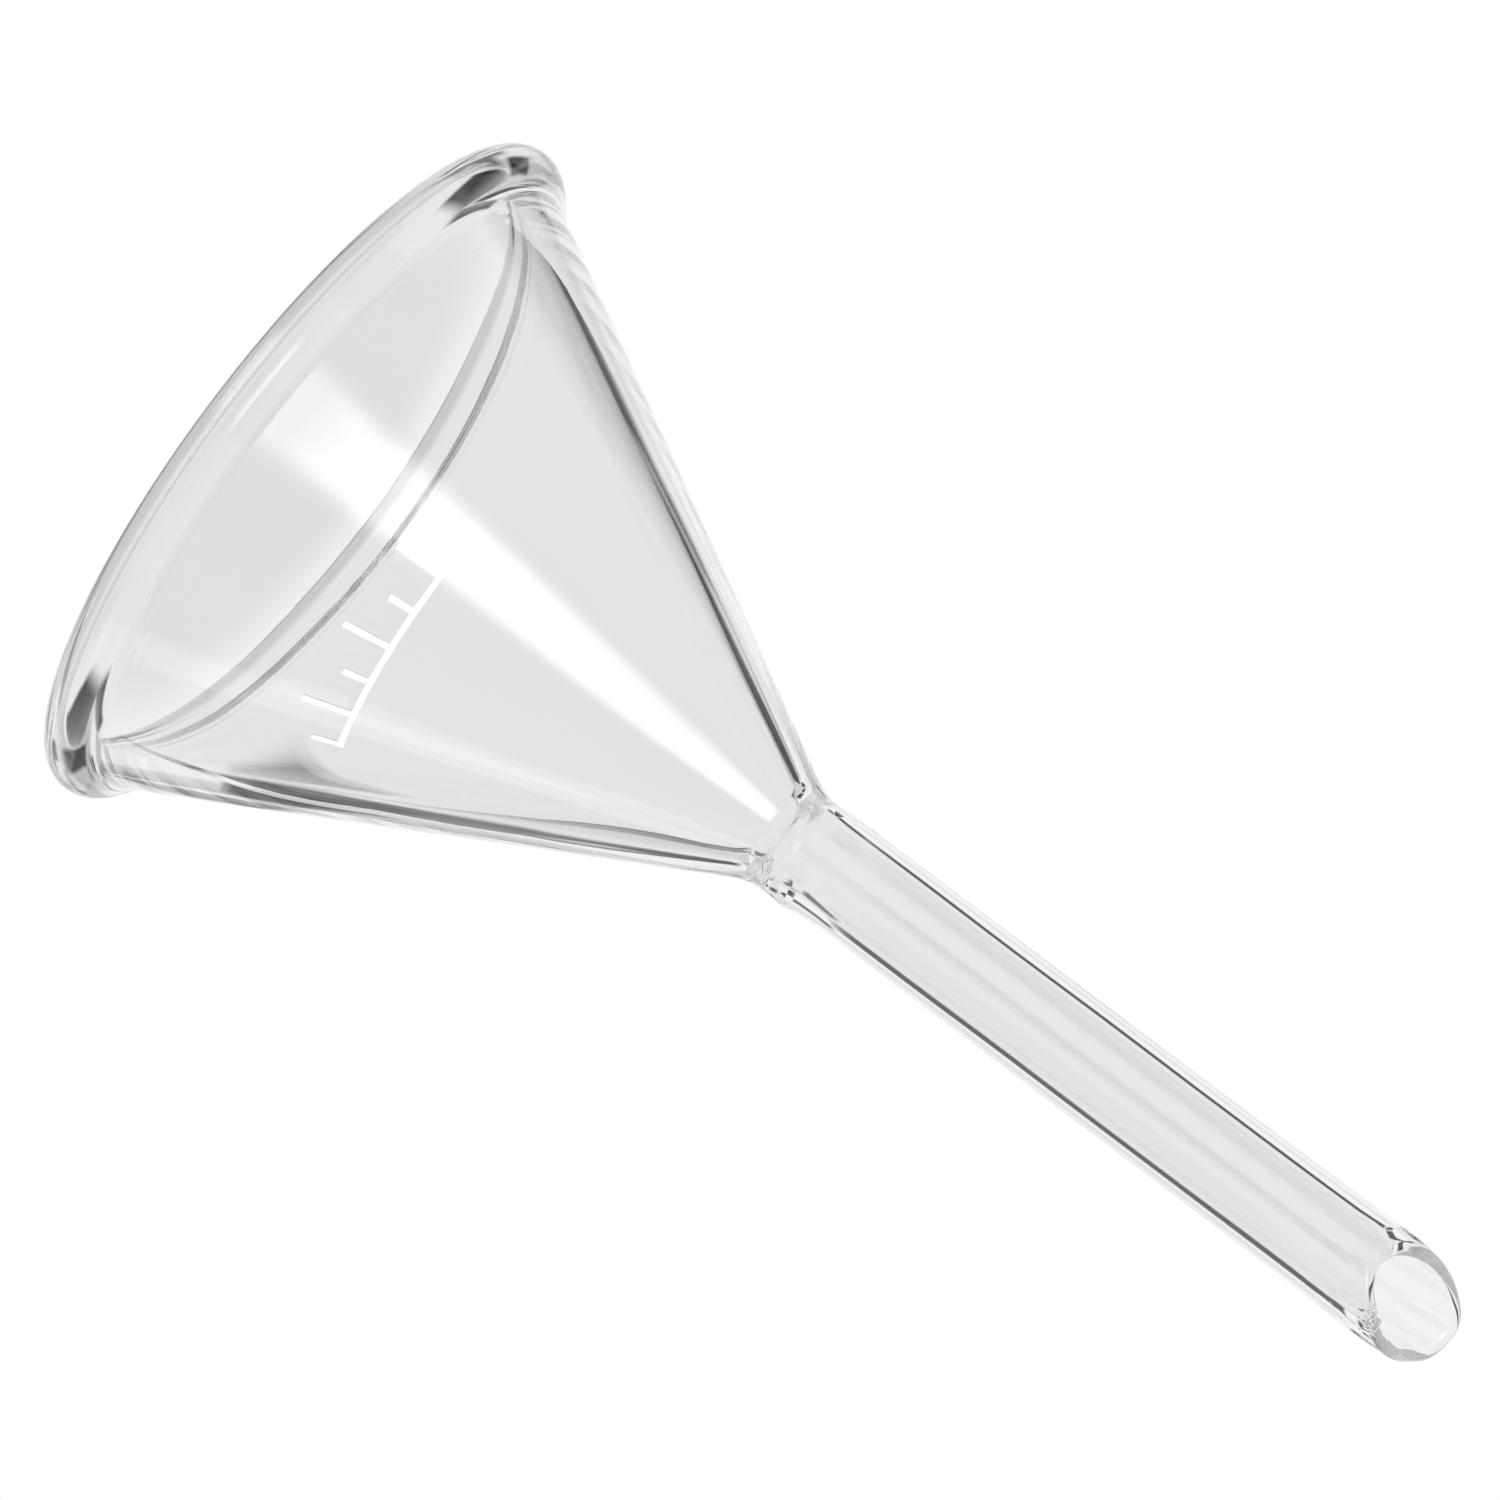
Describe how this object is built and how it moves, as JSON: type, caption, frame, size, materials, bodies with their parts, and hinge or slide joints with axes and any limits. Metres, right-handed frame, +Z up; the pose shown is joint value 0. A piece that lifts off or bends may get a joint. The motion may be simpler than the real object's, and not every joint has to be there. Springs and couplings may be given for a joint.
{
  "type": "glass funnel",
  "caption": "Conical laboratory funnel of clear glass with a beaded rim, a welded straight stem and an oblique fire-polished tip.",
  "frame": {"origin": "centre of the plane that the beaded rim rests on, with the funnel standing mouth down", "axes": "+Z up the funnel's axis from the mouth to the stem's tip; +Y towards the long point of the oblique tip; +X to its right, seen from -Y"},
  "size_m": [0.05, 0.05, 0.0932],
  "materials": {
    "clear_glass": "clear, fire polished",
    "white_enamel": "satin, fired on"
  },
  "bodies": {
    "root": {"bowl": "clear_glass", "rim_bead": "clear_glass", "neck_weld": "clear_glass", "stem": "clear_glass", "fill_mark": "white_enamel"}
  },
  "joints": []
}
